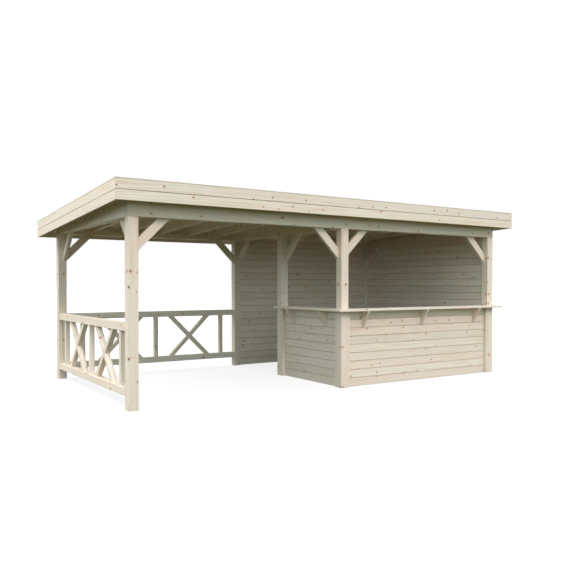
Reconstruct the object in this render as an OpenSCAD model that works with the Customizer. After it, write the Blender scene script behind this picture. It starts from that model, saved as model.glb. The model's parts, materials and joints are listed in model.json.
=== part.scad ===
// Garden pavilion of sawn timber with a lean-to roof that falls to the back.
// The left bay is open, with crossed railings at its left side and back.
// The right bay is a bar: board walls at the back and right, and low board
// walls under an L-shaped counter at the front and on the side of the open bay.
// All sizes are in millimetres. The ground is at z = 0, the front faces -Y, and
// the origin is on the ground under the middle of the roof.

/* [Frame] */
// Length over the outer faces of the corner posts
frame_length = 5800; // [4800:10:7000]
// Depth over the outer faces of the corner posts
frame_depth = 3020; // [2500:10:3700]
// Height of the underside of the beams
beam_underside = 2080; // [1900:10:2500]
// Side of the square posts, and width of the beams
post_size = 115; // [100:1:145]
// Clear width of the open bay, between the left and the middle posts
open_bay = 2738; // [2200:1:3300]
// Height of the back beam at its front face
back_beam_height = 59; // [40:1:120]
// Length that a brace takes along its post and along its beam
brace_leg = 388; // [250:1:480]
// Width of a brace across its grain
brace_width = 98; // [60:1:110]

/* [Roof] */
// Fall of the roof to the back, in per cent of its depth
roof_fall = 5; // [2:0.5:9]
// Overhang of the roof in front of the posts
front_overhang = 200; // [120:1:400]
// Overhang of the roof beside the posts, on the left and the right
side_overhang = 200; // [120:1:400]
// Overhang of the roof behind the posts
back_overhang = 260; // [120:1:450]
// Width of a roof joist
joist_width = 45; // [35:1:60]
// Height of a roof joist
joist_height = 120; // [90:1:180]
// Distance from one roof joist to the next
joist_pitch = 505; // [350:5:700]
// Thickness of the roof boards
roof_board_thickness = 20; // [15:1:28]
// Thickness of the bitumen sheet on the roof boards
covering_thickness = 4; // [3:0.5:8]
// Thickness of a fascia board
fascia_thickness = 20; // [15:1:28]
// Height of one of the two fascia boards on each side
fascia_board_height = 110; // [85:1:140]
// Width of the strip that holds the bitumen sheet down along the roof's edge
edge_strip_width = 45; // [30:1:70]
// Height of that strip
edge_strip_height = 12; // [8:1:20]

/* [Walls] */
// Distance from the outer face of the posts in to the face of the wall boards
wall_inset = 50; // [30:1:60]
// Thickness of the wall boards
wall_thickness = 20; // [15:1:28]
// Width of the battens that close the wall boards' ends beside the posts
batten_width = 28; // [18:1:40]
// Distance from the outer face of the posts in to the face of the battens
batten_inset = 5; // [2:1:15]

/* [Bar] */
// Height of the underside of the counter, which is the top of the low walls
counter_underside = 1000; // [850:5:1150]
// Thickness of the counter
counter_thickness = 30; // [22:1:45]
// Overhang of the counter beyond the outer faces of the posts
counter_outside = 100; // [60:1:200]
// Overhang of the counter beyond the inner faces of the posts
counter_inside = 75; // [40:1:200]
// Thickness of a counter bracket
bracket_thickness = 28; // [20:1:45]
// Height of a counter bracket
bracket_height = 217; // [120:1:300]
// Length of the blunt ends of a counter bracket
bracket_nose = 16; // [8:1:30]
// Clear distance from a post to the next bracket
bracket_gap = 262; // [150:1:400]

/* [Railings] */
// Height of the underside of the bottom rail
bottom_rail_underside = 140; // [80:5:250]
// Height of the top of the top rail
top_rail_top = 937; // [850:1:1100]
// Side of the square rails
rail_size = 90; // [70:1:100]
// Side of the square uprights and diagonals
bar_size = 60; // [40:1:68]
// Clear distance from a post to the next upright
upright_gap = 212; // [100:1:300]

/* [Hidden] */

spruce = [0.88, 0.81, 0.69];
bitumen = [0.24, 0.24, 0.25];
strip_tone = [0.70, 0.67, 0.60];

// The pieces are laid out from the outer front left corner of the post frame,
// and then moved so that the roof's middle is over the origin.
roof_middle = [frame_length / 2, (frame_depth + back_overhang - front_overhang) / 2, 0];

// Left faces of the posts, front faces of the posts
middle_x = post_size + open_bay;
right_x = frame_length - post_size;
back_y = frame_depth - post_size;
bar_end_y = (frame_depth - post_size) / 2;

// Edges of the roof, over the fascias' outer and inner faces
roof_x0 = -side_overhang;
roof_x1 = frame_length + side_overhang;
roof_y0 = -front_overhang;
roof_y1 = frame_depth + back_overhang;
deck_x0 = roof_x0 + fascia_thickness;
deck_x1 = roof_x1 - fascia_thickness;
deck_y0 = roof_y0 + fascia_thickness;
deck_y1 = roof_y1 - fascia_thickness;

// Heights in the roof, above the sloping plane on which the joists stand
deck_underside = joist_height;
deck_top = deck_underside + roof_board_thickness;
covering_top = deck_top + covering_thickness;
edge_top = covering_top + edge_strip_height;
fascia_seam = covering_top - fascia_board_height;
fascia_underside = covering_top - 2 * fascia_board_height;

// The braces fill what the wall boards leave of the posts' depth, so that they
// are flush with the posts' inner faces and bear on the boards.
brace_thickness = post_size - wall_inset - wall_thickness;
batten_depth = wall_inset - batten_inset;
rail_inset = (post_size - rail_size) / 2;
bar_inset = (post_size - bar_size) / 2;

// Left faces of the joists: one behind each side fascia, one on each beam that
// runs from front to back, and the others at their pitch from the left.
function joists_between(start, end) =
    [for (i = [1 : 1 : ceil((end - start - joist_width) / joist_pitch) - 1]) start + i * joist_pitch];
joist_places = concat(
    [deck_x0, 0, middle_x, frame_length - joist_width, deck_x1 - joist_width],
    joists_between(0, middle_x),
    joists_between(middle_x, frame_length - joist_width)
);

// Height of the joists' underside at a distance y behind the front of the posts
function joist_plane(y) = beam_underside + back_beam_height + (back_y - y) * roof_fall / 100;

module placed() {
    translate(-roof_middle) children();
}

// ---- Shapes that repeat ----

module post(x, y) {
    translate([x, y, 0]) cube([post_size, post_size, beam_underside]);
}

// An outline in Y and Z, carried along X from x0 to x1
module along_x(x0, x1, outline) {
    translate([x0, 0, 0])
        rotate([90, 0, 90])
            linear_extrude(height = x1 - x0) polygon(outline);
}

// A beam with a level underside, and a top cut to the plane of the joists
module beam(x0, x1, y0, y1) {
    along_x(x0, x1, [
        [y0, beam_underside],
        [y1, beam_underside],
        [y1, joist_plane(y1)],
        [y0, joist_plane(y0)]
    ]);
}

// A layer of the roof between two heights above the plane of the joists
module roof_layer(x0, x1, y0, y1, low, high) {
    along_x(x0, x1, [
        [y0, joist_plane(y0) + low],
        [y1, joist_plane(y1) + low],
        [y1, joist_plane(y1) + high],
        [y0, joist_plane(y0) + high]
    ]);
}

// A brace at 45 degrees from a post, which rises along +X from the origin. It
// lies between y = 0 and the brace thickness.
module brace() {
    cut = brace_width * sqrt(2);
    translate([0, brace_thickness, beam_underside])
        rotate([90, 0, 0])
            linear_extrude(height = brace_thickness)
                polygon([[0, -brace_leg], [brace_leg, 0], [brace_leg - cut, 0], [0, cut - brace_leg]]);
}

module brace_right_of(x, y) {
    translate([x, y, 0]) brace();
}

module brace_left_of(x, y) {
    translate([x, y + brace_thickness, 0]) rotate([0, 0, 180]) brace();
}

module brace_behind(x, y) {
    translate([x + brace_thickness, y, 0]) rotate([0, 0, 90]) brace();
}

module brace_before(x, y) {
    translate([x, y, 0]) rotate([0, 0, -90]) brace();
}

// A triangular bracket with blunt ends, under a counter that projects along -Y.
// Its back is on the plane y = wall_inset, and it lies from x = 0 along +X.
module bracket() {
    translate([0, 0, counter_underside])
        along_x(0, bracket_thickness, [
            [wall_inset, 0],
            [wall_inset, -bracket_height],
            [wall_inset - bracket_nose, -bracket_height],
            [-counter_outside, -bracket_nose],
            [-counter_outside, 0]
        ]);
}

// Two crossed diagonals at 45 degrees from the bottom rail to the top rail,
// centred on the origin's X
module railing_cross(height) {
    half_cut = bar_size * sqrt(2) / 2;
    translate([0, bar_size, 0])
        rotate([90, 0, 0])
            linear_extrude(height = bar_size)
                union() {
                    for (way = [-1, 1])
                        polygon([
                            [-way * height / 2 - half_cut, 0],
                            [-way * height / 2 + half_cut, 0],
                            [way * height / 2 + half_cut, height],
                            [way * height / 2 - half_cut, height]
                        ]);
                }
}

// The uprights and crosses of one railing, along +X from a post's face
module railing_bars(span) {
    height = top_rail_top - bottom_rail_underside - 2 * rail_size;
    uprights = [upright_gap, (span - bar_size) / 2, span - upright_gap - bar_size];
    translate([0, 0, bottom_rail_underside + rail_size]) {
        for (x = uprights)
            translate([x, 0, 0]) cube([bar_size, bar_size, height]);
        for (i = [0, 1])
            translate([(uprights[i] + bar_size + uprights[i + 1]) / 2, 0, 0]) railing_cross(height);
    }
}

// The bottom and the top rail of one railing, along +X from a post's face
module rails(span) {
    for (z = [bottom_rail_underside, top_rail_top - rail_size])
        translate([0, 0, z]) cube([span, rail_size, rail_size]);
}

// ---- Posts and beams ----

module post_front_left() { color(spruce) placed() post(0, 0); }

module post_front_middle() { color(spruce) placed() post(middle_x, 0); }

module post_front_right() { color(spruce) placed() post(right_x, 0); }

module post_bar_end() { color(spruce) placed() post(middle_x, bar_end_y); }

module post_back_left() { color(spruce) placed() post(0, back_y); }

module post_back_middle() { color(spruce) placed() post(middle_x, back_y); }

module post_back_right() { color(spruce) placed() post(right_x, back_y); }

module beam_front() { color(spruce) placed() beam(0, frame_length, 0, post_size); }

module beam_back() { color(spruce) placed() beam(0, frame_length, back_y, frame_depth); }

module beam_left() { color(spruce) placed() beam(0, post_size, post_size, back_y); }

module beam_middle() {
    color(spruce) placed() beam(middle_x, middle_x + post_size, post_size, back_y);
}

module beam_right() { color(spruce) placed() beam(right_x, frame_length, post_size, back_y); }

// ---- Braces ----

module braces_front() {
    y = post_size - brace_thickness;
    color(spruce) placed() {
        brace_right_of(post_size, y);
        brace_left_of(middle_x, y);
        brace_right_of(middle_x + post_size, y);
        brace_left_of(right_x, y);
    }
}

module braces_back() {
    color(spruce) placed() {
        brace_right_of(post_size, back_y);
        brace_left_of(middle_x, back_y);
        brace_right_of(middle_x + post_size, back_y);
        brace_left_of(right_x, back_y);
    }
}

module braces_left() {
    x = post_size - brace_thickness;
    color(spruce) placed() {
        brace_behind(x, post_size);
        brace_before(x, back_y);
    }
}

module braces_middle() {
    x = middle_x + post_size - brace_thickness;
    color(spruce) placed() {
        brace_before(x, bar_end_y);
        brace_before(x, back_y);
    }
}

module braces_right() {
    color(spruce) placed() {
        brace_behind(right_x, post_size);
        brace_before(right_x, back_y);
    }
}

// ---- Roof ----

module roof_joists() {
    color(spruce) placed()
        for (x = joist_places) roof_layer(x, x + joist_width, deck_y0, deck_y1, 0, deck_underside);
}

module roof_boards() {
    color(spruce) placed() roof_layer(deck_x0, deck_x1, deck_y0, deck_y1, deck_underside, deck_top);
}

module roof_covering() {
    color(bitumen) placed() roof_layer(deck_x0, deck_x1, deck_y0, deck_y1, deck_top, covering_top);
}

module fascia_front_upper() {
    color(spruce) placed() roof_layer(roof_x0, roof_x1, roof_y0, deck_y0, fascia_seam, covering_top);
}

module fascia_front_lower() {
    color(spruce) placed() roof_layer(roof_x0, roof_x1, roof_y0, deck_y0, fascia_underside, fascia_seam);
}

module fascia_back_upper() {
    color(spruce) placed() roof_layer(roof_x0, roof_x1, deck_y1, roof_y1, fascia_seam, covering_top);
}

module fascia_back_lower() {
    color(spruce) placed() roof_layer(roof_x0, roof_x1, deck_y1, roof_y1, fascia_underside, fascia_seam);
}

module fascia_left_upper() {
    color(spruce) placed() roof_layer(roof_x0, deck_x0, deck_y0, deck_y1, fascia_seam, covering_top);
}

module fascia_left_lower() {
    color(spruce) placed() roof_layer(roof_x0, deck_x0, deck_y0, deck_y1, fascia_underside, fascia_seam);
}

module fascia_right_upper() {
    color(spruce) placed() roof_layer(deck_x1, roof_x1, deck_y0, deck_y1, fascia_seam, covering_top);
}

module fascia_right_lower() {
    color(spruce) placed() roof_layer(deck_x1, roof_x1, deck_y0, deck_y1, fascia_underside, fascia_seam);
}

module roof_edge_front() {
    color(strip_tone) placed()
        roof_layer(roof_x0, roof_x1, roof_y0, roof_y0 + edge_strip_width, covering_top, edge_top);
}

module roof_edge_back() {
    color(strip_tone) placed()
        roof_layer(roof_x0, roof_x1, roof_y1 - edge_strip_width, roof_y1, covering_top, edge_top);
}

module roof_edge_left() {
    color(strip_tone) placed()
        roof_layer(roof_x0, roof_x0 + edge_strip_width,
            roof_y0 + edge_strip_width, roof_y1 - edge_strip_width, covering_top, edge_top);
}

module roof_edge_right() {
    color(strip_tone) placed()
        roof_layer(roof_x1 - edge_strip_width, roof_x1,
            roof_y0 + edge_strip_width, roof_y1 - edge_strip_width, covering_top, edge_top);
}

// ---- Walls ----

module wall_back() {
    color(spruce) placed()
        translate([middle_x + post_size, frame_depth - wall_inset - wall_thickness, 0])
            cube([right_x - middle_x - post_size, wall_thickness, beam_underside]);
}

module wall_right() {
    color(spruce) placed()
        translate([frame_length - wall_inset - wall_thickness, post_size, 0])
            cube([wall_thickness, back_y - post_size, beam_underside]);
}

module bar_wall_front() {
    color(spruce) placed()
        translate([middle_x + post_size, wall_inset, 0])
            cube([right_x - middle_x - post_size, wall_thickness, counter_underside]);
}

module bar_wall_side() {
    color(spruce) placed()
        translate([middle_x + wall_inset, post_size, 0])
            cube([wall_thickness, bar_end_y - post_size, counter_underside]);
}

module wall_battens() {
    bay_x = [middle_x + post_size, right_x - batten_width];
    color(spruce) placed() {
        for (x = bay_x) {
            translate([x, batten_inset, 0]) cube([batten_width, batten_depth, counter_underside]);
            translate([x, frame_depth - wall_inset, 0]) cube([batten_width, batten_depth, beam_underside]);
        }
        for (y = [post_size, bar_end_y - batten_width])
            translate([middle_x + batten_inset, y, 0])
                cube([batten_depth, batten_width, counter_underside]);
        for (y = [post_size, back_y - batten_width])
            translate([frame_length - wall_inset, y, 0])
                cube([batten_depth, batten_width, beam_underside]);
    }
}

// ---- Bar ----

// The counter's two boards meet in a mitre through the front middle post, and
// are cut out round the posts.
counter_corner_outer = [middle_x - counter_outside, -counter_outside];
counter_corner_inner = [middle_x + post_size + counter_inside, post_size + counter_inside];

module counter_board(outline, posts) {
    translate([0, 0, counter_underside])
        linear_extrude(height = counter_thickness)
            difference() {
                polygon(outline);
                for (p = posts) translate(p) square(post_size);
            }
}

// Past the right post the front board ends at the post's back face, and behind
// the post it ends at the wall boards.
module counter_front() {
    outer_end = frame_length + counter_outside;
    inner_end = frame_length - wall_inset - wall_thickness;
    color(spruce) placed()
        counter_board([
            counter_corner_outer,
            [outer_end, -counter_outside],
            [outer_end, post_size],
            [inner_end, post_size],
            [inner_end, counter_corner_inner[1]],
            counter_corner_inner
        ], [[middle_x, 0], [right_x, 0]]);
}

module counter_side() {
    counter_end = bar_end_y + post_size / 2;
    color(spruce) placed()
        counter_board([
            counter_corner_outer,
            counter_corner_inner,
            [counter_corner_inner[0], counter_end],
            [counter_corner_outer[0], counter_end]
        ], [[middle_x, 0], [middle_x, bar_end_y]]);
}

module counter_brackets() {
    front_start = middle_x + post_size + bracket_gap;
    front_end = right_x - bracket_gap - bracket_thickness;
    color(spruce) placed() {
        for (x = [front_start, (front_start + front_end) / 2, front_end])
            translate([x, 0, 0]) bracket();
        for (y = [post_size + bracket_gap + bracket_thickness, bar_end_y - bracket_gap])
            translate([middle_x, y, 0]) rotate([0, 0, -90]) bracket();
    }
}

// ---- Railings ----

module rails_left() {
    color(spruce) placed()
        translate([rail_inset + rail_size, post_size, 0]) rotate([0, 0, 90]) rails(back_y - post_size);
}

module rails_back() {
    color(spruce) placed() translate([post_size, back_y + rail_inset, 0]) rails(open_bay);
}

module railing_bars_left() {
    color(spruce) placed()
        translate([bar_inset + bar_size, post_size, 0])
            rotate([0, 0, 90]) railing_bars(back_y - post_size);
}

module railing_bars_back() {
    color(spruce) placed() translate([post_size, back_y + bar_inset, 0]) railing_bars(open_bay);
}

post_front_left();
post_front_middle();
post_front_right();
post_bar_end();
post_back_left();
post_back_middle();
post_back_right();
beam_front();
beam_back();
beam_left();
beam_middle();
beam_right();
braces_front();
braces_back();
braces_left();
braces_middle();
braces_right();
roof_joists();
roof_boards();
roof_covering();
fascia_front_upper();
fascia_front_lower();
fascia_back_upper();
fascia_back_lower();
fascia_left_upper();
fascia_left_lower();
fascia_right_upper();
fascia_right_lower();
roof_edge_front();
roof_edge_back();
roof_edge_left();
roof_edge_right();
wall_back();
wall_right();
bar_wall_front();
bar_wall_side();
wall_battens();
counter_front();
counter_side();
counter_brackets();
rails_left();
rails_back();
railing_bars_left();
railing_bars_back();
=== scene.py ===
"""Looks of the wooden garden pavilion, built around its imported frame.

Every timber, board and sheet is made here as a surface of its own in metres, in the frame's own
axes: +X along the front from the open bay to the bar, +Y from the front to the back, +Z up. All
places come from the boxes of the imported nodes. Each timber is a prism between two end outlines
with rounded edges, and it carries its own direction of grain, so knots, streaks and growth rings
follow the timber and not the world.
"""

import json
import logging
import math
import zlib
from dataclasses import dataclass, field
from enum import Enum
from typing import Any, Iterable, Sequence

import bpy
import numpy as np
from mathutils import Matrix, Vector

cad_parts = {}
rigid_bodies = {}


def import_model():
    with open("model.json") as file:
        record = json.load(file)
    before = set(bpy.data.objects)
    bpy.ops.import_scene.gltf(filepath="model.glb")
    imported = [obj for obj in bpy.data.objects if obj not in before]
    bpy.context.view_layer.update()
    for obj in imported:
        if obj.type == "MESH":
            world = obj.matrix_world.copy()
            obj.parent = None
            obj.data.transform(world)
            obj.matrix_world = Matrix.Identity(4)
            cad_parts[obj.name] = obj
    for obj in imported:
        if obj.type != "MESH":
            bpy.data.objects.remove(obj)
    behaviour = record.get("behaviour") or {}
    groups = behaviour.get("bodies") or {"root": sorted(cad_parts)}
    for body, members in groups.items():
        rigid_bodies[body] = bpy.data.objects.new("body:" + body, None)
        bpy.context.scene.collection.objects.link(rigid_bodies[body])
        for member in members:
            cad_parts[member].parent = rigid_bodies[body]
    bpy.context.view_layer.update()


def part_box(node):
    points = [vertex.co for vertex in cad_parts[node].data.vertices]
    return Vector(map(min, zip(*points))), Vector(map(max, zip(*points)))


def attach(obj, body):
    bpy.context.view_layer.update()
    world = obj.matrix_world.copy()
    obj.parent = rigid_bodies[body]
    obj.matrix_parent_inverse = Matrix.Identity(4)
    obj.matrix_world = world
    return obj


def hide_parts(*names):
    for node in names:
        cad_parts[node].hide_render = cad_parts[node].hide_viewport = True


LOG = logging.getLogger("pavilion")
BODY = "root"
GRAIN_MAP = "grain"

X_AXIS = np.array([1.0, 0.0, 0.0])
Y_AXIS = np.array([0.0, 1.0, 0.0])
Z_AXIS = np.array([0.0, 0.0, 1.0])


# ---------------------------------------------------------------------------------------------
# Colours and node graphs
# ---------------------------------------------------------------------------------------------


def tone_of(red: int, green: int, blue: int) -> tuple[float, float, float, float]:
    """Turns a display colour of 0 to 255 a channel into the linear colour that shaders use.

    Args:
        red: Red channel.
        green: Green channel.
        blue: Blue channel.

    Returns:
        The linear colour with full opacity.
    """
    shares = np.array([red, green, blue]) / 255.0
    linear = np.where(shares <= 0.04045, shares / 12.92, ((shares + 0.055) / 1.055) ** 2.4)
    return (float(linear[0]), float(linear[1]), float(linear[2]), 1.0)


class Graph:
    """A material's node tree, with short calls for the nodes that the finishes use."""

    def __init__(self, name: str) -> None:
        """Makes an empty material.

        Args:
            name: Name of the material.
        """
        self.material = bpy.data.materials.new(name)
        self.material.use_nodes = True
        self.tree = self.material.node_tree
        self.tree.nodes.clear()

    def put(self, kind: str, inputs: dict[Any, Any], output: Any = 0, **settings: Any) -> Any:
        """Adds a node.

        Args:
            kind: Type name of the node.
            inputs: Input name or number, with the socket or value that goes in.
            output: Name or number of the output to return.
            **settings: Properties of the node itself.

        Returns:
            The chosen output socket, or the node itself if it has none.
        """
        node = self.tree.nodes.new(kind)
        for key, value in settings.items():
            setattr(node, key, value)
        for key, value in inputs.items():
            if isinstance(value, bpy.types.NodeSocket):
                self.tree.links.new(value, node.inputs[key])
            else:
                node.inputs[key].default_value = value
        return node.outputs[output] if len(node.outputs) else node

    def math(self, operation: str, first: Any, second: Any = 0.0, clamp: bool = False) -> Any:
        """Adds a Math node and returns its value."""
        return self.put("ShaderNodeMath", {0: first, 1: second}, operation=operation, use_clamp=clamp)

    def times(self, first: Any, second: Any) -> Any:
        """Returns the product of two values."""
        return self.math("MULTIPLY", first, second)

    def plus(self, first: Any, second: Any) -> Any:
        """Returns the sum of two values."""
        return self.math("ADD", first, second)

    def vector(self, x: Any, y: Any, z: Any = 0.0) -> Any:
        """Returns a vector of three values."""
        return self.put("ShaderNodeCombineXYZ", {0: x, 1: y, 2: z})

    def noise(self, where: Any, scale: float = 1.0, detail: float = 2.0) -> Any:
        """Returns noise of 0 to 1 at a place."""
        return self.put("ShaderNodeTexNoise", {"Vector": where, "Scale": scale, "Detail": detail})

    def fibres(self, place: tuple[Any, Any], length: float, width: float, seed: Any, detail: float) -> Any:
        """Returns noise drawn out along the grain.

        Args:
            place: Place along and across the grain, in metres.
            length: Length of its patches, in metres.
            width: Width of its patches, in metres.
            seed: Value that picks one of its slices.
            detail: Number of finer layers.

        Returns:
            A value of 0 to 1.
        """
        where = self.vector(self.times(place[0], 1.0 / length), self.times(place[1], 1.0 / width), seed)
        return self.noise(where, 1.0, detail)

    def ease(self, value: Any, start: Any, end: Any) -> Any:
        """Returns 0 at start and 1 at end, with a smooth step between them."""
        inputs = {"Value": value, "From Min": start, "From Max": end}
        return self.put("ShaderNodeMapRange", inputs, interpolation_type="SMOOTHSTEP")

    def blend(self, share: Any, first: Any, second: Any) -> Any:
        """Returns first, turned towards second by a share of 0 to 1."""
        return self.put("ShaderNodeMix", {0: share, 6: first, 7: second}, 2, data_type="RGBA")

    def scaled(self, colour: Any, factor: Any) -> Any:
        """Returns a colour times a factor."""
        plain = colour if isinstance(colour, bpy.types.NodeSocket) else tuple(colour)[:3]
        return self.put("ShaderNodeVectorMath", {0: plain, "Scale": factor}, operation="SCALE")

    def own(self, name: str) -> Any:
        """Returns the value of one of the piece's own attributes."""
        return self.put("ShaderNodeAttribute", {}, "Fac", attribute_name=name)

    def grain_place(self) -> tuple[Any, Any]:
        """Returns the two coordinates of the piece's own grain map, in metres."""
        place = self.put("ShaderNodeUVMap", {}, uv_map=GRAIN_MAP)
        return (
            self.put("ShaderNodeSeparateXYZ", {0: place}, 0),
            self.put("ShaderNodeSeparateXYZ", {0: place}, 1),
        )

    def surface(self, colour: Any, roughness: float, height: Any, depth: float) -> bpy.types.Material:
        """Ends the graph in a shader with a bump.

        Args:
            colour: Base colour.
            roughness: Roughness, the same all over.
            height: Height of the bump, 0 to 1.
            depth: Depth of the bump in metres.

        Returns:
            The finished material.
        """
        bump = self.put("ShaderNodeBump", {"Strength": 0.6, "Distance": depth, "Height": height})
        inputs = {"Base Color": colour, "Roughness": roughness, "Normal": bump, "Specular IOR Level": 0.3}
        shader = self.put("ShaderNodeBsdfPrincipled", inputs)
        self.put("ShaderNodeOutputMaterial", {"Surface": shader})
        return self.material


# ---------------------------------------------------------------------------------------------
# Finishes
# ---------------------------------------------------------------------------------------------


@dataclass(frozen=True)
class SpruceFinish:
    """Planed spruce, untreated, with growth rings, streaks and small dark knots.

    Attributes:
        name: Name of the finish.
        cream: Colour of an ordinary timber.
        peach: Colour of the pinkest timbers.
        straw: Colour of the yellowest timbers.
        late_wood: Colour of the dark side of a growth ring.
        groove: Colour of the painted shade on the bevels of the V-joints between boards.
        halo: Colour of the resinous wood round a knot.
        knot: Colour of a knot's heart.
        ring_pitch: Distance between the rings' lines on a face, in metres.
        ring_sway: Number of pitches by which slow noise moves the rings.
        ring_share: Strength of the rings' colour.
        streak_share: Strength of the streaks' colour.
        tone_spread: Difference in brightness between two timbers.
        knot_stretch: Width of a knot over its length.
        knot_pitch: Mean distance between possible knots, in metres.
        knot_share: Share of those places that hold a knot.
        knot_radius: Smallest and largest radius of a knot, in metres.
    """

    name: str
    cream: tuple[float, float, float, float] = tone_of(229, 221, 207)
    peach: tuple[float, float, float, float] = tone_of(230, 213, 195)
    straw: tuple[float, float, float, float] = tone_of(226, 218, 197)
    late_wood: tuple[float, float, float, float] = tone_of(205, 174, 141)
    # Painted shade: colour put on the bevels of board joints, standing in for the shade that falls in the
    # V-joints.
    groove: tuple[float, float, float, float] = tone_of(160, 122, 82)
    halo: tuple[float, float, float, float] = tone_of(204, 158, 118)
    knot: tuple[float, float, float, float] = tone_of(96, 62, 38)
    ring_pitch: float = 0.024
    ring_sway: float = 7.0
    ring_share: float = 0.3
    streak_share: float = 0.42
    tone_spread: float = 0.028
    knot_stretch: float = 0.8
    knot_pitch: float = 0.24
    knot_share: float = 0.6
    knot_radius: tuple[float, float] = (0.004, 0.012)

    def face_material(self) -> bpy.types.Material:
        """Makes the material of the faces along the grain.

        A ring line is where the place across the grain, pushed about by slow noise along the
        timber, comes round to a whole number of ring pitches. A knot is a spot round the centre
        of a random cell, with a halo of darker wood.

        Returns:
            The material.
        """
        g = Graph(self.name)
        place = g.grain_place()
        along, across = place
        tone, blush = g.own("tone"), g.own("blush")

        swing = g.fibres(place, 1.7, 0.2, tone, 2.0)
        phase = g.plus(g.times(across, 1.0 / self.ring_pitch), g.times(swing, self.ring_sway))
        ring = g.math("POWER", g.ease(g.math("SINE", g.times(phase, math.tau)), -1.0, 1.0), 2.0)
        streak = g.fibres(place, 0.7, 0.024, blush, 3.0)
        patch = g.fibres(place, 0.45, 0.11, tone, 2.0)

        knot_place = g.vector(g.times(along, self.knot_stretch / self.knot_pitch), g.times(across, 1.0 / self.knot_pitch))
        cells = g.put("ShaderNodeTexVoronoi", {"Vector": knot_place, "Scale": 1.0}, voronoi_dimensions="2D")
        chance = g.put("ShaderNodeSeparateColor", {0: cells.node.outputs["Color"]}, 0)
        size = g.put("ShaderNodeSeparateColor", {0: cells.node.outputs["Color"]}, 1)
        present = g.math("LESS_THAN", chance, self.knot_share)
        small, large = self.knot_radius
        radius = g.plus(g.times(g.math("POWER", size, 1.6), large - small), small)
        distance = g.times(cells, self.knot_pitch)
        heart = g.times(g.ease(distance, radius, g.times(radius, 0.6)), present)
        halo = g.times(g.ease(distance, g.times(radius, 3.0), radius), present)

        colour = g.blend(g.math("MAXIMUM", blush, 0.0), self.cream, self.peach)
        colour = g.blend(g.math("MAXIMUM", g.times(blush, -1.0), 0.0), colour, self.straw)
        colour = g.blend(g.times(ring, self.ring_share), colour, self.late_wood)
        colour = g.blend(g.times(g.ease(streak, 0.46, 0.7), self.streak_share), colour, self.late_wood)
        level = g.plus(g.times(tone, self.tone_spread), g.times(g.plus(streak, -0.5), 0.2))
        level = g.plus(level, g.times(g.plus(patch, -0.5), 0.1))
        colour = g.scaled(colour, g.plus(level, 1.0))
        # Painted shade: the bevels of the board joints are turned towards the groove colour, for the shade in
        # the V-joints.
        colour = g.blend(g.times(g.own("groove"), 0.5), colour, self.groove)
        colour = g.blend(g.times(halo, 0.5), colour, self.halo)
        colour = g.blend(g.times(heart, 0.92), colour, self.knot)

        pores = g.fibres(place, 0.11, 0.0024, 0.0, 2.0)
        height = g.plus(g.times(pores, 0.6), g.plus(g.times(ring, 0.3), g.times(heart, -0.5)))
        return g.surface(colour, 0.66, height, 0.0006)

    def end_material(self) -> bpy.types.Material:
        """Makes the material of sawn ends: rings at whole multiples of a few millimetres round the pith.

        Returns:
            The material.
        """
        g = Graph(self.name + "_end")
        first, second = g.grain_place()
        from_pith = g.put("ShaderNodeVectorMath", {0: g.vector(first, second)}, "Value", operation="LENGTH")
        wobble = g.noise(g.vector(first, second), 30.0, 3.0)
        phase = g.plus(g.times(from_pith, 1.0 / 0.0042), wobble)
        ring = g.ease(g.math("SINE", g.times(phase, math.tau)), -0.6, 1.0)
        colour = g.blend(g.times(ring, 0.55), g.scaled(self.cream, 0.86), self.late_wood)
        pores = g.noise(g.vector(first, second), 900.0, 1.0)
        colour = g.scaled(colour, g.plus(g.times(pores, 0.16), 0.9))
        return g.surface(colour, 0.8, pores, 0.0006)


@dataclass(frozen=True)
class BitumenFinish:
    """Bitumen sheet with mineral grit.

    Attributes:
        name: Name of the finish.
        slate: Colour of the grit.
        pale: Colour of the paler grains.
    """

    name: str = "bitumen"
    slate: tuple[float, float, float, float] = tone_of(74, 76, 79)
    pale: tuple[float, float, float, float] = tone_of(128, 129, 131)

    def material(self) -> bpy.types.Material:
        """Makes the material: pale grains by a fine random cell pattern, with slow weathering over it.

        Returns:
            The material.
        """
        g = Graph(self.name)
        place = g.put("ShaderNodeTexCoord", {}, "Object")
        cells = g.put("ShaderNodeTexVoronoi", {"Vector": place, "Scale": 420.0}, "Color")
        grain = g.put("ShaderNodeSeparateColor", {0: cells}, 0)
        weather = g.noise(place, 1.3, 4.0)
        colour = g.blend(g.ease(grain, 0.55, 1.0), self.slate, self.pale)
        colour = g.scaled(colour, g.plus(g.times(weather, 0.5), 0.75))
        return g.surface(colour, 0.9, grain, 0.0012)


# ---------------------------------------------------------------------------------------------
# Timbers
# ---------------------------------------------------------------------------------------------


def unit(vector: np.ndarray) -> np.ndarray:
    """Returns the vector, or each row of vectors, at length one."""
    return vector / np.linalg.norm(vector, axis=-1, keepdims=True)


def winding(outline: np.ndarray) -> np.ndarray:
    """Returns the normal of a flat outline: the sum of the cross products of neighbouring corners."""
    return np.cross(outline, np.roll(outline, -1, axis=0)).sum(axis=0)


def eased(outline: np.ndarray, radius: float, steps: int) -> np.ndarray:
    """Rounds the corners of an outline.

    Each corner becomes points on the curve (1-t)^2 S + 2t(1-t) C + t^2 E, where C is the corner,
    and S and E lie the radius away from it on the two sides.

    Args:
        outline: Corners, one a row.
        radius: Distance from a corner to the start of its curve, in metres.
        steps: Number of spans on each curve, 0 for sharp corners.

    Returns:
        The points of the rounded outline.
    """
    if steps == 0:
        return outline
    start = outline + radius * unit(np.roll(outline, 1, axis=0) - outline)
    end = outline + radius * unit(np.roll(outline, -1, axis=0) - outline)
    t = np.linspace(0.0, 1.0, steps + 1)[None, :, None]
    curve = (1 - t) ** 2 * start[:, None] + 2 * t * (1 - t) * outline[:, None] + t**2 * end[:, None]
    return curve.reshape(-1, 3)


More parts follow.
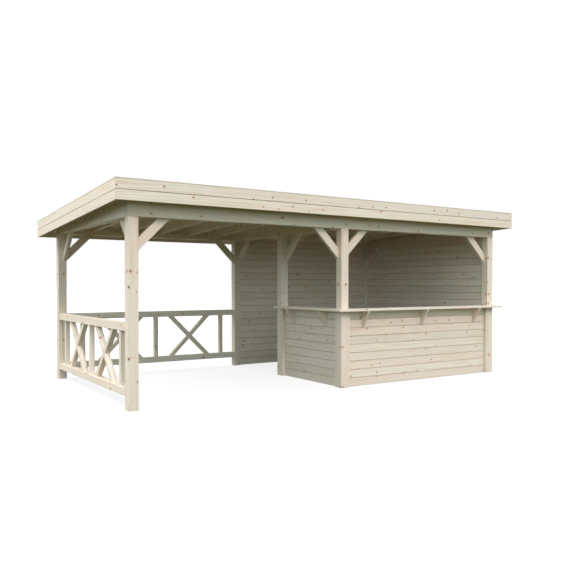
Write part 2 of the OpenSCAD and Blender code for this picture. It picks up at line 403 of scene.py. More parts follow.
def drawn_in(outline: np.ndarray, normal: np.ndarray, distance: float) -> np.ndarray:
    """Moves every side of an outline inwards by a distance.

    A corner moves by the sum of its two sides' inward normals, over one plus their dot product.

    Args:
        outline: Corners, counter-clockwise about the normal.
        normal: Unit normal of the outline's plane.
        distance: Distance to move the sides, in metres.

    Returns:
        The corners of the smaller outline.
    """
    side = unit(np.roll(outline, -1, axis=0) - outline)
    inward = np.cross(normal, side)
    before = np.roll(inward, 1, axis=0)
    share = 1.0 + (inward * before).sum(axis=1, keepdims=True)
    return outline + distance * (inward + before) / share


@dataclass
class Timber:
    """A straight timber between two end outlines with the same number of corners.

    Attributes:
        start: Corners of the first end, one a row, in metres.
        end: Corners of the other end, in the same order.
        grain: Direction of the grain.
        side: Direction across the grain.
        radius: Size of the rounding of the long edges.
        steps: Spans on each rounded edge.
        chamfer: Size of the chamfer round the ends.
        groove: Share of painted shade on the bevels, standing in for the shade in the V-joints, 0 to 1.
    """

    start: np.ndarray
    end: np.ndarray
    grain: np.ndarray
    side: np.ndarray
    radius: float = 0.003
    steps: int = 2
    chamfer: float = 0.0015
    groove: float = 0.0

    def rings(self) -> np.ndarray:
        """Works out the rounded outlines along the timber.

        Returns:
            Points as (outline, point, coordinate), with outlines drawn in at a chamfered end.
        """
        start, end = np.asarray(self.start, float), np.asarray(self.end, float)
        run = end.mean(axis=0) - start.mean(axis=0)
        if winding(start) @ run < 0:
            start, end = start[::-1], end[::-1]
        start, end = eased(start, self.radius, self.steps), eased(end, self.radius, self.steps)
        if self.chamfer == 0:
            return np.stack([start, end])
        step = unit(run) * self.chamfer
        small_start = drawn_in(start, unit(winding(start)), self.chamfer)
        small_end = drawn_in(end, unit(winding(end)), self.chamfer)
        return np.stack([small_start, start + step, end - step, small_end])


class Stack:
    """Many timbers gathered into one mesh piece, each with a grain and a tone of its own."""

    def __init__(self, name: str) -> None:
        """Starts an empty piece.

        Args:
            name: Name of the piece, which also seeds its tones.
        """
        self.name = name
        self.random = np.random.default_rng(zlib.crc32(name.encode()))
        self.points: list[np.ndarray] = []
        self.faces: list[list[int]] = []
        self.owner: list[np.ndarray] = []
        self.grains: list[np.ndarray] = []
        # Share of painted groove shade on each timber's bevels.
        self.painted_bevel_shades: list[float] = []
        self.count = 0

    def add(self, timber: Timber) -> None:
        """Adds a timber: quads between its outlines, and one face at each end.

        Args:
            timber: The timber.
        """
        rings = timber.rings()
        spans, ring_size = rings.shape[0] - 1, rings.shape[1]
        first = self.count + np.arange(spans * ring_size).reshape(spans, ring_size)
        after = np.roll(first, -1, axis=1)
        quads = np.stack([first, after, after + ring_size, first + ring_size], axis=-1)
        last_ring = self.count + spans * ring_size + np.arange(ring_size)
        self.faces += quads.reshape(-1, 4).tolist()
        self.faces += [first[0][::-1].tolist(), last_ring.tolist()]
        self.points.append(rings.reshape(-1, 3))
        self.owner.append(np.full(rings.shape[0] * ring_size, len(self.grains)))
        grain = unit(np.asarray(timber.grain, float))
        side = unit(timber.side - grain * (timber.side @ grain))
        self.grains.append(np.stack([grain, side, np.cross(grain, side), rings.mean(axis=(0, 1))]))
        self.painted_bevel_shades.append(timber.groove)
        self.count += rings.shape[0] * ring_size

    def finish(self, finish: SpruceFinish, materials: "Workshop") -> bpy.types.Object:
        """Makes the mesh, its grain map and its tones, and puts the finish on it.

        On a face along the grain the map is (along, across + up), and on a sawn end it is the
        place across and up from the pith, all in metres and moved by a random amount a timber.

        Args:
            finish: Finish of the timbers.
            materials: Store of the finished materials.

        Returns:
            The piece.
        """
        points = np.concatenate(self.points)
        owner = np.concatenate(self.owner)
        mesh = bpy.data.meshes.new(self.name)
        mesh.from_pydata(points, [], self.faces)
        mesh.update()

        sizes = np.empty(len(mesh.polygons), int)
        mesh.polygons.foreach_get("loop_total", sizes)
        normals = np.empty(len(mesh.polygons) * 3)
        mesh.polygons.foreach_get("normal", normals)
        corner = np.empty(len(mesh.loops), int)
        mesh.loops.foreach_get("vertex_index", corner)

        frames = np.stack(self.grains)
        face_of_corner = np.repeat(np.arange(len(sizes)), sizes)
        face_owner = owner[[face[0] for face in self.faces]]
        along_grain = np.abs((normals.reshape(-1, 3) * frames[face_owner, 0]).sum(axis=1))
        sawn = along_grain > 0.6

        timber = owner[corner]
        local = np.einsum("ij,ikj->ik", points[corner] - frames[timber, 3], frames[timber, :3])
        shift = self.random.uniform(0.0, 60.0, (len(frames), 2))[timber]
        pith = self.random.uniform(-0.05, 0.05, (len(frames), 2))[timber]
        faces_map = np.stack([local[:, 0], local[:, 1] + local[:, 2]], axis=1) + shift
        ends_map = local[:, 1:] + pith
        grain_map = np.where(sawn[face_of_corner][:, None], ends_map, faces_map)
        mesh.uv_layers.new(name=GRAIN_MAP).data.foreach_set("uv", grain_map.astype(np.float32).ravel())

        tones = np.clip(self.random.normal(0.0, 1.0, len(frames)), -1.8, 1.8)
        blushes = self.random.uniform(-0.6, 0.6, len(frames))
        for label, values in (("tone", tones), ("blush", blushes)):
            layer = mesh.attributes.new(label, "FLOAT", "POINT")
            layer.data.foreach_set("value", values[owner].astype(np.float32))
        # Painted shade mask: the sloping bevel faces of boards get their timber's share of painted groove shade;
        # flat faces and sawn ends get none.
        across_grain = np.abs((normals.reshape(-1, 3) * frames[face_owner, 1]).sum(axis=1))
        bevel = (across_grain > 0.3) & (across_grain < 0.95) & ~sawn
        painted_bevel_shades = np.array(self.painted_bevel_shades)[face_owner] * bevel
        mesh.attributes.new("groove", "FLOAT", "FACE").data.foreach_set("value", painted_bevel_shades.astype(np.float32))
        mesh.polygons.foreach_set("material_index", sawn.astype(np.int32))
        mesh.materials.append(materials.face(finish))
        mesh.materials.append(materials.end(finish))
        mesh.update()
        piece = bpy.data.objects.new(self.name, mesh)
        bpy.context.scene.collection.objects.link(piece)
        return piece


class Workshop:
    """The store of materials, and the last step of every piece."""

    def __init__(self) -> None:
        """Starts with no materials made."""
        self.made: dict[str, bpy.types.Material] = {}

    def face(self, finish: SpruceFinish) -> bpy.types.Material:
        """Returns the material of a finish's faces, made once."""
        if finish.name not in self.made:
            self.made[finish.name] = finish.face_material()
        return self.made[finish.name]

    def end(self, finish: SpruceFinish) -> bpy.types.Material:
        """Returns the material of a finish's sawn ends, made once."""
        key = finish.name + "_end"
        if key not in self.made:
            self.made[key] = finish.end_material()
        return self.made[key]

    def deliver(self, piece: bpy.types.Object, slot: str, *nodes: str) -> None:
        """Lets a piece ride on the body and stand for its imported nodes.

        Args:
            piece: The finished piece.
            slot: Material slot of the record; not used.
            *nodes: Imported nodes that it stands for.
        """
        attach(piece, BODY)
        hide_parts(*nodes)
        LOG.info("%s: %d faces, for %s", piece.name, len(piece.data.polygons), ", ".join(nodes))

    def timber_piece(self, node: str, timbers: Iterable[Timber], finish: SpruceFinish, slot: str) -> None:
        """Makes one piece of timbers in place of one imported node.

        Args:
            node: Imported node.
            timbers: The timbers.
            finish: Their finish.
            slot: Material slot of the record.
        """
        stack = Stack(node + "_timber")
        for timber in timbers:
            stack.add(timber)
        self.deliver(stack.finish(finish, self), slot, node)


def corners_of(node: str) -> tuple[np.ndarray, np.ndarray]:
    """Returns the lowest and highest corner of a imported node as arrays, in metres."""
    low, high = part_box(node)
    return np.array(low, float), np.array(high, float)


def box_timber(low: Sequence[float], high: Sequence[float], axis: int, **look: float) -> Timber:
    """Makes a timber that fills a box.

    Args:
        low: Lowest corner.
        high: Highest corner.
        axis: Number of the axis along the grain: 0, 1 or 2.
        **look: Rounding of the timber, by the names of its fields.

    Returns:
        The timber.
    """
    low, high = np.array(low, float), np.array(high, float)
    one, two = [n for n in range(3) if n != axis]
    start = np.tile(low, (4, 1))
    start[[1, 2], one] = high[one]
    start[[2, 3], two] = high[two]
    end = start.copy()
    end[:, axis] = high[axis]
    return Timber(start, end, np.eye(3)[axis], np.eye(3)[one], **look)


# ---------------------------------------------------------------------------------------------
# Tongue-and-groove boards
# ---------------------------------------------------------------------------------------------


@dataclass(frozen=True)
class BoardProfile:
    """The section of a tongue-and-groove board, with a bevel along each edge of both faces.

    Attributes:
        cover: Width that a board covers, in metres.
        bevel_width: Width of a bevel along the face.
        bevel_depth: Depth of a bevel.
        tongue: Height of the tongue.
        joint: Gap between two boards.
    """

    cover: float = 1.0 / 9.0
    bevel_width: float = 0.0045
    bevel_depth: float = 0.0045
    tongue: float = 0.008
    joint: float = 0.0012

    def outline(self, bottom: float, top: float, thickness: float, first: bool, last: bool) -> np.ndarray:
        """Works out the section of one board.

        Args:
            bottom: Lower edge of the board's cover.
            top: Upper edge of the board's cover.
            thickness: Thickness of the board.
            first: True if nothing is below it, so that it has no groove.
            last: True if nothing is above it, so that it has no tongue.

        Returns:
            Corners as (place through the thickness, place up the wall).
        """
        low = bottom + (0.0 if first else self.joint / 2)
        high = top - (0.0 if last else self.joint / 2)
        near, far = thickness * 0.36, thickness * 0.64
        slack = 0.0004
        deep, wide = self.bevel_depth, self.bevel_width
        outline = [(0.0, low + wide), (deep, low)]
        if not first:
            groove = low + self.tongue
            outline += [(near - slack, low), (near - slack, groove)]
            outline += [(far + slack, groove), (far + slack, low)]
        outline += [(thickness - deep, low), (thickness, low + wide), (thickness, high - wide)]
        outline += [(thickness - deep, high)]
        if not last:
            tip = high + self.tongue - self.joint
            outline += [(far, high), (far, tip), (near, tip), (near, high)]
        outline += [(deep, high), (0.0, high - wide)]
        return np.array(outline)


@dataclass
class BoardField:
    """A field of boards laid edge to edge.

    Attributes:
        origin: Corner from which the boards are laid.
        along: Direction and length of the boards.
        up: Direction in which the next board follows, at length one.
        through: Direction through the thickness, at length one.
        height: Width of the whole field along up.
        thickness: Thickness of the boards.
        profile: Section of the boards.
    """

    origin: np.ndarray
    along: np.ndarray
    up: np.ndarray
    through: np.ndarray
    height: float
    thickness: float
    profile: BoardProfile = field(default_factory=BoardProfile)

    def board(self, start: np.ndarray) -> Timber:
        """Returns the board that begins with a section."""
        # Boards carry the full painted groove shade on their bevels.
        return Timber(start, start + self.along, self.along, self.up, steps=0, chamfer=0.0, groove=1.0)

    def timbers(self) -> list[Timber]:
        """Lays the boards from the origin up; the last one is ripped to the width that is left.

        Returns:
            One timber a board.
        """
        narrowest = 3.0 * self.profile.bevel_width
        rows = max(1, math.ceil((self.height - narrowest) / self.profile.cover))
        boards = []
        for row in range(rows):
            top = self.height if row == rows - 1 else (row + 1) * self.profile.cover
            section = self.profile.outline(
                row * self.profile.cover, top, self.thickness, row == 0, row == rows - 1
            )
            start = self.origin + section[:, :1] * self.through + section[:, 1:] * self.up
            boards.append(self.board(start))
        return boards


# ---------------------------------------------------------------------------------------------
# Sub-assemblies
# ---------------------------------------------------------------------------------------------


@dataclass
class PostsAndBeams:
    """The square posts and the beams on them.

    Attributes:
        workshop: Store of materials.
        finish: Finish of the timbers.
        rounding: Size of the rounded edges, in metres.
        posts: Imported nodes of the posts.
    """

    workshop: Workshop
    finish: SpruceFinish
    rounding: float = 0.004
    posts: tuple[str, ...] = (
        "post_front_left",
        "post_front_middle",
        "post_front_right",
        "post_bar_end",
        "post_back_left",
        "post_back_middle",
        "post_back_right",
    )

    def build(self, roof: "RoofPlane") -> None:
        """Builds the posts, and the beams with tops cut to the roof's slope.

        Args:
            roof: The plane on which the joists stand.
        """
        for node in self.posts:
            low, high = corners_of(node)
            post = box_timber(low, high, 2, radius=self.rounding)
            self.workshop.timber_piece(node, [post], self.finish, "posts_and_beams")
        for node in ("beam_front", "beam_back"):
            self.beam(node, roof, 0)
        for node in ("beam_left", "beam_middle", "beam_right"):
            self.beam(node, roof, 1)

    def beam(self, node: str, roof: "RoofPlane", axis: int) -> None:
        """Builds one beam.

        Args:
            node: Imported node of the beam.
            roof: The plane on which the joists stand.
            axis: Number of the axis along the beam.
        """
        low, high = corners_of(node)
        timber = box_timber(low, high, axis, radius=self.rounding)
        for ring in (timber.start, timber.end):
            top = ring[:, 2] > low[2] + 1e-6
            ring[top, 2] = roof.height(ring[top, 1], 0.0)
        self.workshop.timber_piece(node, [timber], self.finish, "posts_and_beams")


@dataclass
class RoofPlane:
    """The sloping plane on which the joists stand.

    Attributes:
        front: Front edge of the front beam, where the plane's height is known.
        front_height: Height of the plane there.
        fall: Drop of the plane a metre towards the back.
    """

    front: float
    front_height: float
    fall: float

    @classmethod
    def of_frame(cls) -> "RoofPlane":
        """Reads the plane from the tops of the front and the back beam."""
        front_low, front_high = corners_of("beam_front")
        back_low, back_high = corners_of("beam_back")
        fall = (front_high[2] - back_high[2]) / (back_low[1] - front_low[1])
        return cls(front_low[1], front_high[2], fall)

    def height(self, y: Any, above: float) -> Any:
        """Returns the height of a layer of the roof at a place y."""
        return self.front_height - (y - self.front) * self.fall + above

    def top_of(self, node: str) -> float:
        """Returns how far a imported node's top lies above the plane."""
        low, high = corners_of(node)
        return high[2] - self.height(low[1], 0.0)

    def underside_of(self, node: str) -> float:
        """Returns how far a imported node's underside lies above the plane."""
        low, high = corners_of(node)
        return low[2] - self.height(high[1], 0.0)

    def layer(self, node: str, axis: int, **look: float) -> Timber:
        """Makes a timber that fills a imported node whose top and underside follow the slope.

        Args:
            node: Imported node.
            axis: Number of the axis along the timber.
            **look: Rounding of the timber.

        Returns:
            The timber.
        """
        low, high = corners_of(node)
        return self.sloped(low, high, self.underside_of(node), self.top_of(node), axis, **look)

    def sloped(
        self,
        low: Sequence[float],
        high: Sequence[float],
        under: float,
        over: float,
        axis: int,
        **look: float,
    ) -> Timber:
        """Makes a timber between two heights above the plane.

        Args:
            low: Lowest x and y.
            high: Highest x and y.
            under: Height of the underside above the plane.
            over: Height of the top above the plane.
            axis: Number of the axis along the timber.
            **look: Rounding of the timber.

        Returns:
            The timber.
        """
        timber = box_timber([low[0], low[1], 0.0], [high[0], high[1], 1.0], axis, **look)
        for ring in (timber.start, timber.end):
            ring[:, 2] = self.height(ring[:, 1], np.where(ring[:, 2] > 0.5, over, under))
        if axis == 1:
            timber.grain = unit(np.array([0.0, 1.0, -self.fall]))
        return timber


class Lean(Enum):
    """The direction in which a brace rises from its post, as axis and sign."""

    RIGHT = (0, 1)
    LEFT = (0, -1)
    BACK = (1, 1)
    FRONT = (1, -1)


def ring_of(first: float, second: float, near: float, far: float) -> list[tuple[float, float]]:
    """Returns the four corners of a rectangle, in order, as two numbers each."""
    return [(first, near), (second, near), (second, far), (first, far)]


@dataclass
class Braces:
    """The braces at 45 degrees between posts and beams.

    Attributes:
        workshop: Store of materials.
        finish: Finish of the timbers.
        width: Width of a brace across its grain, in metres.
        rounding: Size of the rounded edges.
    """

    workshop: Workshop
    finish: SpruceFinish
    width: float = 0.098
    rounding: float = 0.003

    def build(self) -> None:
        """Builds the five lines of braces from the posts that they stand against."""
        lines: dict[str, tuple[tuple[str, Lean], ...]] = {
            "braces_front": (
                ("post_front_left", Lean.RIGHT),
                ("post_front_middle", Lean.LEFT),
                ("post_front_middle", Lean.RIGHT),
                ("post_front_right", Lean.LEFT),
            ),
            "braces_back": (
                ("post_back_left", Lean.RIGHT),
                ("post_back_middle", Lean.LEFT),
                ("post_back_middle", Lean.RIGHT),
                ("post_back_right", Lean.LEFT),
            ),
            "braces_left": (("post_front_left", Lean.BACK), ("post_back_left", Lean.FRONT)),
            "braces_middle": (("post_bar_end", Lean.FRONT), ("post_back_middle", Lean.FRONT)),
            "braces_right": (("post_front_right", Lean.BACK), ("post_back_right", Lean.FRONT)),
        }
        for node, braces in lines.items():
            timbers = [self.brace(node, post, lean) for post, lean in braces]
            self.workshop.timber_piece(node, timbers, self.finish, "posts_and_beams")

    def brace(self, node: str, post: str, lean: Lean) -> Timber:
        """Makes one brace.

        Its foot is cut to the post and its head to the beam, so both ends are as long as the
        width times the square root of two.

        Args:
            node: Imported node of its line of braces.
            post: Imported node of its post.
            lean: Direction in which it rises.

        Returns:
            The timber.
        """
        low, high = corners_of(node)
        post_low, post_high = corners_of(post)
        axis, sign = lean.value
        other = 1 - axis
        leg = high[2] - low[2]
        cut = self.width * math.sqrt(2.0)
        face = post_high[axis] if sign > 0 else post_low[axis]

        def place(run: float, drop: float, depth: float) -> np.ndarray:
            """Returns the point a run from the post, a drop below the beam, at a depth of the line."""
            point = np.zeros(3)
            point[axis] = face + sign * run
            point[other] = depth
            point[2] = high[2] - drop
            return point

        near, far = low[other], high[other]
        start = np.array([place(0.0, drop, depth) for drop, depth in ring_of(leg, leg - cut, near, far)])
        end = np.array([place(run, 0.0, depth) for run, depth in ring_of(leg, leg - cut, near, far)])
        grain = end.mean(axis=0) - start.mean(axis=0)
        return Timber(start, end, grain, np.eye(3)[other], radius=self.rounding, chamfer=0.0)


@dataclass
class Roof:
    """The joists, the deck, its bitumen sheet, the fascias and the strips along the edge.

    Attributes:
        workshop: Store of materials.
        plane: The plane on which the joists stand.
        frame_finish: Finish of the joists.
        board_finish: Finish of the deck and the fascias.
        strip_finish: Finish of the edge strips.
        joist_width: Width of a joist, in metres.
        joist_pitch: Distance from one joist to the next.
        sheet_width: Width of a strip of bitumen sheet.
        sheet_lap: Overlap of two strips.
        sheet_thickness: Thickness of the sheet.
        seam: Gap between the upper and the lower fascia board.
    """

    workshop: Workshop
    plane: RoofPlane
    frame_finish: SpruceFinish
    board_finish: SpruceFinish
    strip_finish: SpruceFinish
    joist_width: float = 0.045
    joist_pitch: float = 0.505
    sheet_width: float = 1.0
    sheet_lap: float = 0.1
    sheet_thickness: float = 0.0019
    seam: float = 0.005

    def build(self) -> None:
        """Builds the roof from the joists up."""
        self.joists()
        self.deck()
        self.sheets()
        for side, axis in (("front", 0), ("back", 0), ("left", 1), ("right", 1)):
            for row in ("upper", "lower"):
                node = f"fascia_{side}_{row}"
                board = self.fascia(node, axis, row == "upper")
                self.workshop.timber_piece(node, [board], self.board_finish, "boards")
            strip = self.plane.layer(f"roof_edge_{side}", axis, radius=0.003, chamfer=0.0)
            self.workshop.timber_piece(f"roof_edge_{side}", [strip], self.strip_finish, "edge_strip")

    def fascia(self, node: str, axis: int, upper: bool) -> Timber:
        """Makes a fascia board, set back from its neighbour by half the seam.

        Args:
            node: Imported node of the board.
            axis: Number of the axis along the board.
            upper: True for the upper board.

        Returns:
            The timber.
        """
        low, high = corners_of(node)
        under, over = self.plane.underside_of(node), self.plane.top_of(node)
        under, over = (under + self.seam / 2, over) if upper else (under, over - self.seam / 2)
        return self.plane.sloped(low, high, under, over, axis, radius=0.0035, chamfer=0.001)

    def joist_places(self) -> list[float]:
        """Works out the left faces of the joists, as the frame has them.

        Returns:
            Places along X: one behind each side fascia, one on each beam from front to back,
            and the others at their pitch from the left end of their bay.
        """
        low, high = corners_of("roof_joists")
        bay_starts = [corners_of("beam_left")[0][0], corners_of("beam_middle")[0][0]]
        bay_ends = [bay_starts[1], corners_of("beam_right")[1][0] - self.joist_width]
        places = [low[0], high[0] - self.joist_width, *bay_starts, bay_ends[1]]
        for start, end in zip(bay_starts, bay_ends):
            count = math.ceil((end - start - self.joist_width) / self.joist_pitch) - 1
            places += [start + self.joist_pitch * n for n in range(1, count + 1)]
        return places

    def joists(self) -> None:
        """Builds the joists."""
        low, high = corners_of("roof_joists")
        over = self.plane.top_of("roof_joists")
        timbers = [
            self.plane.sloped([x, low[1]], [x + self.joist_width, high[1]], 0.0, over, 1, chamfer=0.0)
            for x in self.joist_places()
        ]
        self.workshop.timber_piece("roof_joists", timbers, self.frame_finish, "posts_and_beams")

    def deck(self) -> None:
        """Builds the boards of the deck, laid from the front to the back."""
        low, high = corners_of("roof_boards")
        under = self.plane.underside_of("roof_boards")
        thickness = self.plane.top_of("roof_boards") - under
        boards = BoardField(
            origin=np.array([low[0], low[1], self.plane.height(low[1], under)]),
            along=np.array([high[0] - low[0], 0.0, 0.0]),
            up=np.array([0.0, 1.0, -self.plane.fall]),
            through=Z_AXIS,
            height=high[1] - low[1],
            thickness=thickness,
        )
        self.workshop.timber_piece("roof_boards", boards.timbers(), self.board_finish, "boards")

    def sheets(self) -> None:
        """Builds the strips of bitumen sheet, each with its lower edge over the strip behind it."""
        low, high = corners_of("roof_covering")
        under = self.plane.underside_of("roof_covering")
        thick, ramp = self.sheet_thickness, 0.03
        stack = Stack("roof_covering_sheets")
        front = low[1]
        while front < high[1]:
            back = min(front + self.sheet_width, high[1])
            lap = self.sheet_lap if back < high[1] else 0.0
            section = [(front, 0.0), (back, 0.0), (back, thick), (front, thick)]
            if lap:
                rise = back - lap
                section[1:3] = [
                    (rise - ramp, 0.0),
                    (rise, thick),
                    (back, thick),
                    (back, 2 * thick),
                    (rise, 2 * thick),
                    (rise - ramp, thick),
                ]
            ring = np.array([[low[0], y, self.plane.height(y, under + lift)] for y, lift in section])
            along = np.array([high[0] - low[0], 0.0, 0.0])
            stack.add(Timber(ring, ring + along, along, Y_AXIS, steps=0, chamfer=0.0))
            front = back - lap
            if not lap:
                break
        piece = stack.finish(self.strip_finish, self.workshop)
        bitumen = BitumenFinish().material()
        piece.data.materials.clear()
        piece.data.materials.append(bitumen)
        piece.data.polygons.foreach_set("material_index", np.zeros(len(piece.data.polygons), np.int32))
        self.workshop.deliver(piece, "bitumen_sheet", "roof_covering")


@dataclass
class BoardWalls:
    """The walls of tongue-and-groove boards, and the battens that close their ends.

    Attributes:
        workshop: Store of materials.
        finish: Finish of the boards.
        batten_width: Width of a batten along the wall, in metres.
        batten_depth: Depth of a batten.
    """

    workshop: Workshop
    finish: SpruceFinish
    batten_width: float = 0.028
    batten_depth: float = 0.045

    def build(self) -> None:
        """Builds the four walls and the battens."""
        for node, axis in (("wall_back", 0), ("wall_right", 1), ("bar_wall_front", 0), ("bar_wall_side", 1)):
            self.wall(node, axis)
        self.battens()

    def wall(self, node: str, axis: int) -> None:
        """Builds one wall, laid from the ground up.

        Args:
            node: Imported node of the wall.
            axis: Number of the axis along the boards.
        """
        low, high = corners_of(node)
        through = np.eye(3)[1 - axis]
        boards = BoardField(
            origin=low,
            along=np.eye(3)[axis] * (high[axis] - low[axis]),
            up=Z_AXIS,
            through=through,
            height=high[2] - low[2],
            thickness=float((high - low) @ through),
        )
        self.workshop.timber_piece(node, boards.timbers(), self.finish, "boards")

    def battens(self) -> None:
        """Builds the battens, in the corners between the boards and the posts' sides."""
        timbers = []
        for wall, axis, outer_low in (
            ("wall_back", 0, False),
            ("wall_right", 1, False),
            ("bar_wall_front", 0, True),
            ("bar_wall_side", 1, True),
        ):
            low, high = corners_of(wall)
            for start in (low[axis], high[axis] - self.batten_width):
                batten_low, batten_high = low.copy(), high.copy()
                batten_low[axis], batten_high[axis] = start, start + self.batten_width
                depth = 1 - axis
                if outer_low:
                    batten_low[depth], batten_high[depth] = low[depth] - self.batten_depth, low[depth]
                else:
                    batten_low[depth], batten_high[depth] = high[depth], high[depth] + self.batten_depth
                timbers.append(box_timber(batten_low, batten_high, 2, radius=0.002))
        self.workshop.timber_piece("wall_battens", timbers, self.finish, "boards")


@dataclass
class Bar:
    """The L-shaped counter and its brackets.

    Attributes:
        workshop: Store of materials.
        finish: Finish of the counter.
        plank_width: Width of the counter's outer plank, in metres.
        seam: Gap between two planks.
        edge: Size of the chamfer round a plank.
        bracket_thickness: Thickness of a bracket.
        bracket_nose: Length of a bracket's blunt ends.
    """

    workshop: Workshop
    finish: SpruceFinish
    plank_width: float = 0.145
    seam: float = 0.001
    edge: float = 0.0035
    bracket_thickness: float = 0.028
    bracket_nose: float = 0.016

    def build(self) -> None:
        """Builds the counter's planks and the brackets under them."""
        self.front_planks()
        self.side_planks()
        self.brackets()

    def plank(self, outline: Sequence[Sequence[float]], low: float, high: float, grain: np.ndarray) -> Timber:
        """Makes a plank from its outline in plan.

        Args:
            outline: Corners as (x, y).
            low: Height of the underside.
            high: Height of the top.
            grain: Direction of the grain.

        Returns:
            The timber.
        """
        start = np.array([[x, y, low] for x, y in outline])
        end = np.array([[x, y, high] for x, y in outline])
        return Timber(start, end, grain, np.cross(Z_AXIS, grain), steps=0, chamfer=self.edge)

    def front_planks(self) -> None:
        """Builds the two planks of the front branch, cut out round the posts and mitred at the corner."""
        low, high = corners_of("counter_front")
        corner_low, corner_high = corners_of("post_front_middle")
        end_low, end_high = corners_of("post_front_right")
        wall_low, _ = corners_of("wall_right")
        seam_y = low[1] + self.plank_width
        gap = self.seam / 2
        mitre = corner_low[0] - corner_low[1]
        outer = [
            (low[1] + mitre, low[1]),
            (high[0], low[1]),
            (high[0], end_high[1]),
            (end_high[0], end_high[1]),
            (end_high[0], end_low[1]),
            (end_low[0], end_low[1]),
            (end_low[0], seam_y - gap),
            (corner_high[0], seam_y - gap),
            (corner_high[0], corner_low[1]),
            (corner_low[0], corner_low[1]),
        ]
        inner = [
            (corner_high[0], seam_y + gap),
            (end_low[0], seam_y + gap),
            (end_low[0], end_high[1]),
            (wall_low[0], end_high[1]),
            (wall_low[0], high[1]),
            (high[1] + mitre, high[1]),
            (corner_high[0], corner_high[1]),
        ]
        planks = [self.plank(outline, low[2], high[2], X_AXIS) for outline in (outer, inner)]
        self.workshop.timber_piece("counter_front", planks, self.finish, "counter_boards")

    def side_planks(self) -> None:
        """Builds the two planks of the side branch, from the mitre to the middle of the inner post."""
        low, high = corners_of("counter_side")
        corner_low, corner_high = corners_of("post_front_middle")
        end_low, end_high = corners_of("post_bar_end")
        seam_x = low[0] + self.plank_width
        gap = self.seam / 2
        outer = [
            (low[0], low[1]),
            (corner_low[0], corner_low[1]),
            (corner_low[0], corner_high[1]),
            (seam_x - gap, corner_high[1]),
            (seam_x - gap, end_low[1]),
            (end_low[0], end_low[1]),
            (end_low[0], high[1]),
            (low[0], high[1]),
        ]
        mitre = corner_low[0] - corner_low[1]
        inner = [
            (seam_x + gap, corner_high[1]),
            (corner_high[0], corner_high[1]),
            (high[0], high[0] - mitre),
            (high[0], high[1]),
            (end_high[0], high[1]),
            (end_high[0], end_low[1]),
            (seam_x + gap, end_low[1]),
        ]
        planks = [self.plank(outline, low[2], high[2], Y_AXIS) for outline in (outer, inner)]
        self.workshop.timber_piece("counter_side", planks, self.finish, "counter_boards")

    def brackets(self) -> None:
        """Builds the triangular brackets: three under the front branch and two under the side branch."""
        low, high = corners_of("counter_brackets")
        wall_front, _ = corners_of("bar_wall_front")
        wall_side, _ = corners_of("bar_wall_side")
        post_low, post_high = corners_of("post_front_middle")
        right_low, _ = corners_of("post_front_right")
        inner_low, _ = corners_of("post_bar_end")
        gap = right_low[0] - high[0]
        first, last = post_high[0] + gap, high[0] - self.bracket_thickness
        timbers = [
            self.bracket(0, x, low[1], wall_front[1], low[2], high[2]) for x in (first, (first + last) / 2, last)
        ]
        near, far = post_high[1] + gap, inner_low[1] - gap - self.bracket_thickness
        timbers += [self.bracket(1, y, low[0], wall_side[0], low[2], high[2]) for y in (near, far)]
        self.workshop.timber_piece("counter_brackets", timbers, self.finish, "counter_boards")

    def bracket(self, axis: int, place: float, tip: float, wall: float, foot: float, top: float) -> Timber:
        """Makes one bracket.

        Args:
            axis: Number of the axis along its thickness.
            place: Start of its thickness on that axis.
            tip: Place of its outer end.
            wall: Place of the wall boards' face.
            foot: Height of its foot.
            top: Height of the counter's underside.

        Returns:
            The timber.
        """
        nose = self.bracket_nose
        outline = [(wall, top), (wall, foot), (wall - nose, foot), (tip, top - nose), (tip, top)]
        start = np.zeros((len(outline), 3))
        start[:, 1 - axis] = [out for out, _ in outline]
        start[:, 2] = [up for _, up in outline]
        start[:, axis] = place
        end = start.copy()
        end[:, axis] += self.bracket_thickness
        return Timber(start, end, Z_AXIS, np.eye(3)[1 - axis], steps=0, chamfer=0.002)


